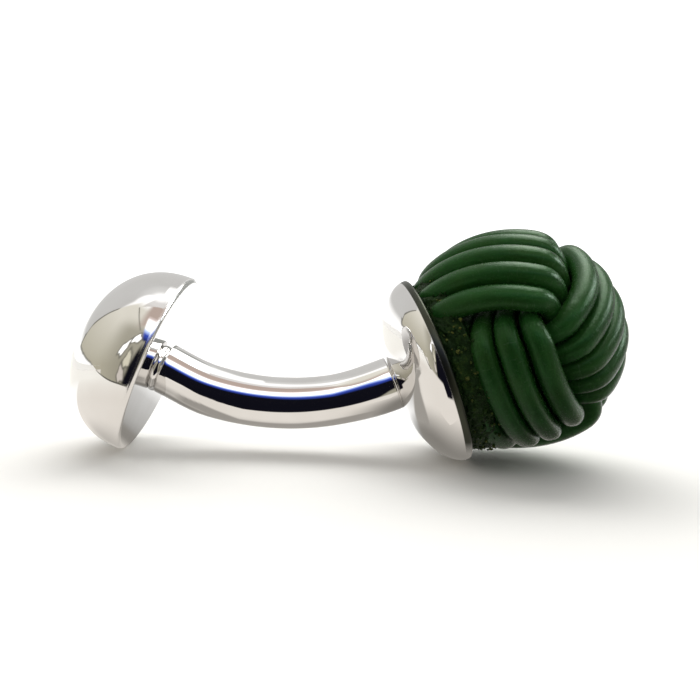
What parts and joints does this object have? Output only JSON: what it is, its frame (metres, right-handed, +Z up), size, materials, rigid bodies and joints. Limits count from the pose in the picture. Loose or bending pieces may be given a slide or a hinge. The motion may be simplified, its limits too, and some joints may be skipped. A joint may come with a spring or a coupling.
{
  "type": "knot cufflink",
  "caption": "Fixed double-ended cufflink lying on its side: polished domed foot, curved round post and a shallow metal cup holding a round knot of green leather cord.",
  "frame": {"origin": "middle of the footprint on the surface that the cufflink lies on", "axes": "+X along the cufflink from the domed foot to the knot, +Z up, -Y towards the picture's camera"},
  "size_m": [0.0322, 0.0132, 0.0136],
  "materials": {
    "silver_metal": "mirror polished silver-coloured plating",
    "green_leather": "dyed bottle green round cord, satin, with fine cracks on the tight bends",
    "dried_glue": "rough dried glue with leather crumbs in it",
    "core_wood": "plain turned bead, hidden"
  },
  "bodies": {
    "root": {"cufflink_frame": "silver_metal", "glue_bed": "dried_glue", "core_bead": "core_wood", "cord_long_1": "green_leather", "cord_long_2": "green_leather", "cord_long_3": "green_leather", "cord_long_4": "green_leather", "cord_long_5": "green_leather", "cord_upright_1": "green_leather", "cord_upright_2": "green_leather", "cord_upright_3": "green_leather", "cord_upright_4": "green_leather", "cord_upright_5": "green_leather", "cord_cross_1": "green_leather", "cord_cross_2": "green_leather", "cord_cross_3": "green_leather", "cord_cross_4": "green_leather", "cord_cross_5": "green_leather"}
  },
  "joints": []
}
